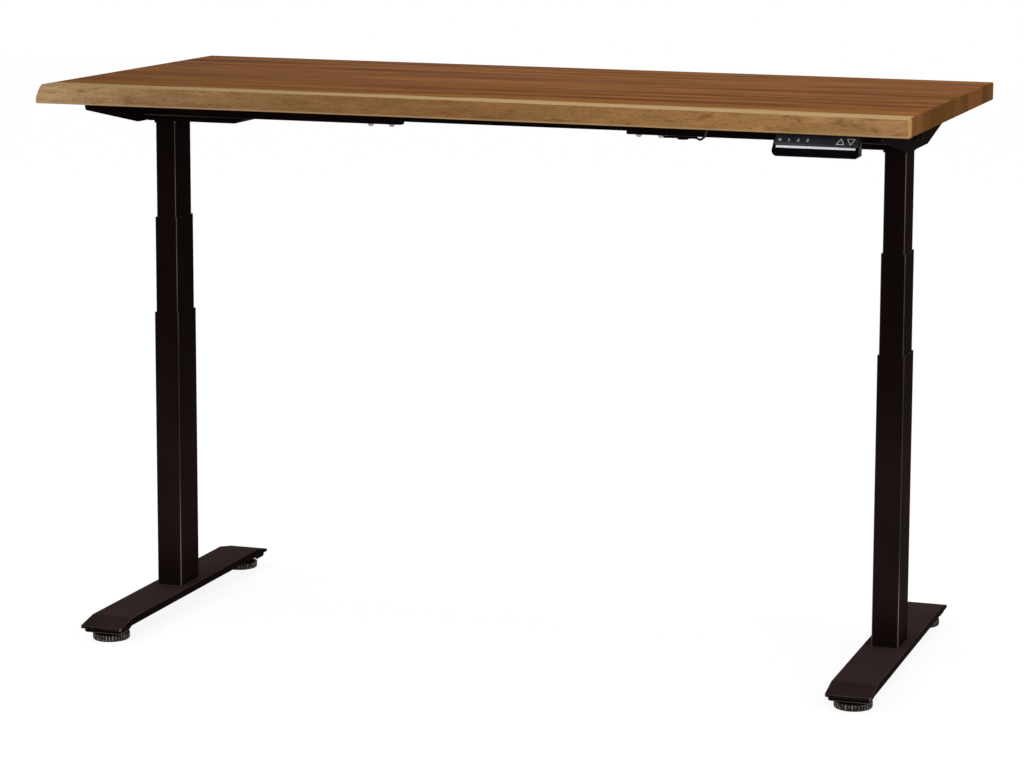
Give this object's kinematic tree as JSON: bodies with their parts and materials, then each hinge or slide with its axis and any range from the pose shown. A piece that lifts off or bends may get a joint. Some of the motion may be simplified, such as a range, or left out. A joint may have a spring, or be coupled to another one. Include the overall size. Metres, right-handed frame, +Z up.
{
  "type": "height-adjustable desk",
  "caption": "Electric sit-stand desk: a live-edge wooden top on telescopic columns with long flat feet, a bolted steel frame and a handset under the front edge.",
  "frame": {"origin": "on the floor, below the middle of the desktop", "axes": "+X along the desk to the user's right, +Y to the desk's back edge, +Z up; the user sits at -Y"},
  "size_m": [1.6, 0.765, 1.03],
  "materials": {
    "wood_top": "satin oil on solid wood, reddish brown with a pale sapwood edge",
    "frame_paint": "satin brown-black powder coat",
    "zinc_bolt": "bright zinc plate",
    "bright_steel": "rolled and oiled steel",
    "nylon_guide": "moulded nylon",
    "gear_case": "die-cast",
    "motor_can": "satin grey paint",
    "black_plastic": "fine moulded grain",
    "gloss_panel": "polished blue-black",
    "silver_trim": "bright anodised",
    "glide_plastic": "moulded, fluted rim",
    "board_green": "solder-masked circuit board",
    "cable_skin": "soft black sheath"
  },
  "bodies": {
    "base": {"left_foot": "frame_paint", "left_lower_tube": "frame_paint", "left_lower_guide": "nylon_guide", "left_nut_pillar": "bright_steel", "right_foot": "frame_paint", "right_lower_tube": "frame_paint", "right_lower_guide": "nylon_guide", "right_nut_pillar": "bright_steel", "foot_bolts": "zinc_bolt"},
    "top": {"desktop": "wood_top", "desktop_screws": "zinc_bolt", "frame_bolts": "zinc_bolt", "front_centre_rail": "frame_paint", "rear_centre_rail": "frame_paint", "left_side_bracket": "frame_paint", "left_front_rail": "frame_paint", "left_rear_rail": "frame_paint", "left_motor_housing": "frame_paint", "left_housing_cover": "frame_paint", "left_gearbox": "gear_case", "left_motor": "motor_can", "left_upper_tube": "frame_paint", "right_side_bracket": "frame_paint", "right_front_rail": "frame_paint", "right_rear_rail": "frame_paint", "right_motor_housing": "frame_paint", "right_housing_cover": "frame_paint", "right_gearbox": "gear_case", "right_motor": "motor_can", "right_upper_tube": "frame_paint", "control_box_base": "black_plastic", "control_box_cover": "black_plastic", "control_board": "board_green", "mains_inlet": "black_plastic", "handset_case": "black_plastic", "handset_panel": "gloss_panel", "handset_trim": "silver_trim", "handset_cable": "cable_skin", "motor_cables": "cable_skin", "cable_clips": "black_plastic"},
    "left_middle": {"left_middle_tube": "frame_paint", "left_middle_guide": "nylon_guide", "left_carrier": "nylon_guide"},
    "left_screw": {"left_hollow_screw": "bright_steel"},
    "left_inner_screw": {"left_spindle": "bright_steel"},
    "right_middle": {"right_middle_tube": "frame_paint", "right_middle_guide": "nylon_guide", "right_carrier": "nylon_guide"},
    "right_screw": {"right_hollow_screw": "bright_steel"},
    "right_inner_screw": {"right_spindle": "bright_steel"},
    "left_front_glide": {"left_front_glide": "glide_plastic"},
    "left_rear_glide": {"left_rear_glide": "glide_plastic"},
    "right_front_glide": {"right_front_glide": "glide_plastic"},
    "right_rear_glide": {"right_rear_glide": "glide_plastic"},
    "up_key": {"up_key": "gloss_panel"},
    "down_key": {"down_key": "gloss_panel"},
    "preset_key_1": {"preset_key_1": "gloss_panel"},
    "preset_key_2": {"preset_key_2": "gloss_panel"},
    "preset_key_3": {"preset_key_3": "gloss_panel"},
    "preset_key_4": {"preset_key_4": "gloss_panel"}
  },
  "joints": [
    {"name": "left_lift", "type": "slide", "parent": "base", "child": "left_middle", "axis": [0, 0, 1], "range_m": [-0.172, 0.122]},
    {"name": "right_lift", "type": "slide", "parent": "base", "child": "right_middle", "axis": [0, 0, 1], "range_m": [-0.172, 0.122]},
    {"name": "top_lift", "type": "slide", "parent": "left_middle", "child": "top", "axis": [0, 0, 1], "range_m": [-0.172, 0.122]},
    {"name": "left_hollow_screw_turn", "type": "hinge", "parent": "left_middle", "child": "left_screw", "pos_m": [-0.704, 0, 0.6], "axis": [0, 0, 1], "range_deg": [-3870, 2750]},
    {"name": "left_spindle_turn", "type": "hinge", "parent": "top", "child": "left_inner_screw", "pos_m": [-0.704, 0, 0.6], "axis": [0, 0, 1], "range_deg": [-7740, 5490]},
    {"name": "right_hollow_screw_turn", "type": "hinge", "parent": "right_middle", "child": "right_screw", "pos_m": [0.704, 0, 0.6], "axis": [0, 0, 1], "range_deg": [-3870, 2750]},
    {"name": "right_spindle_turn", "type": "hinge", "parent": "top", "child": "right_inner_screw", "pos_m": [0.704, 0, 0.6], "axis": [0, 0, 1], "range_deg": [-7740, 5490]},
    {"name": "left_front_glide_turn", "type": "hinge", "parent": "base", "child": "left_front_glide", "pos_m": [-0.704, -0.29, 0], "axis": [0, 0, 1], "range_deg": [-180, 180]},
    {"name": "left_rear_glide_turn", "type": "hinge", "parent": "base", "child": "left_rear_glide", "pos_m": [-0.704, 0.29, 0], "axis": [0, 0, 1], "range_deg": [-180, 180]},
    {"name": "right_front_glide_turn", "type": "hinge", "parent": "base", "child": "right_front_glide", "pos_m": [0.704, -0.29, 0], "axis": [0, 0, 1], "range_deg": [-180, 180]},
    {"name": "right_rear_glide_turn", "type": "hinge", "parent": "base", "child": "right_rear_glide", "pos_m": [0.704, 0.29, 0], "axis": [0, 0, 1], "range_deg": [-180, 180]},
    {"name": "up_key_press", "type": "slide", "parent": "top", "child": "up_key", "axis": [0, 0.7071, -0.7071], "range_m": [0, 0.0006], "stiffness_N_per_m": 1500},
    {"name": "down_key_press", "type": "slide", "parent": "top", "child": "down_key", "axis": [0, 0.7071, -0.7071], "range_m": [0, 0.0006], "stiffness_N_per_m": 1500},
    {"name": "preset_key_1_press", "type": "slide", "parent": "top", "child": "preset_key_1", "axis": [0, 0.7071, -0.7071], "range_m": [0, 0.0006], "stiffness_N_per_m": 1500},
    {"name": "preset_key_2_press", "type": "slide", "parent": "top", "child": "preset_key_2", "axis": [0, 0.7071, -0.7071], "range_m": [0, 0.0006], "stiffness_N_per_m": 1500},
    {"name": "preset_key_3_press", "type": "slide", "parent": "top", "child": "preset_key_3", "axis": [0, 0.7071, -0.7071], "range_m": [0, 0.0006], "stiffness_N_per_m": 1500},
    {"name": "preset_key_4_press", "type": "slide", "parent": "top", "child": "preset_key_4", "axis": [0, 0.7071, -0.7071], "range_m": [0, 0.0006], "stiffness_N_per_m": 1500}
  ],
  "couplings": [
    {"joint": "right_lift", "follows": "left_lift", "ratio": 1},
    {"joint": "top_lift", "follows": "left_lift", "ratio": 1},
    {"joint": "left_hollow_screw_turn", "follows": "left_lift", "rad_per_m": 392.7},
    {"joint": "left_spindle_turn", "follows": "left_lift", "rad_per_m": 785.4},
    {"joint": "right_hollow_screw_turn", "follows": "left_lift", "rad_per_m": 392.7},
    {"joint": "right_spindle_turn", "follows": "left_lift", "rad_per_m": 785.4}
  ]
}
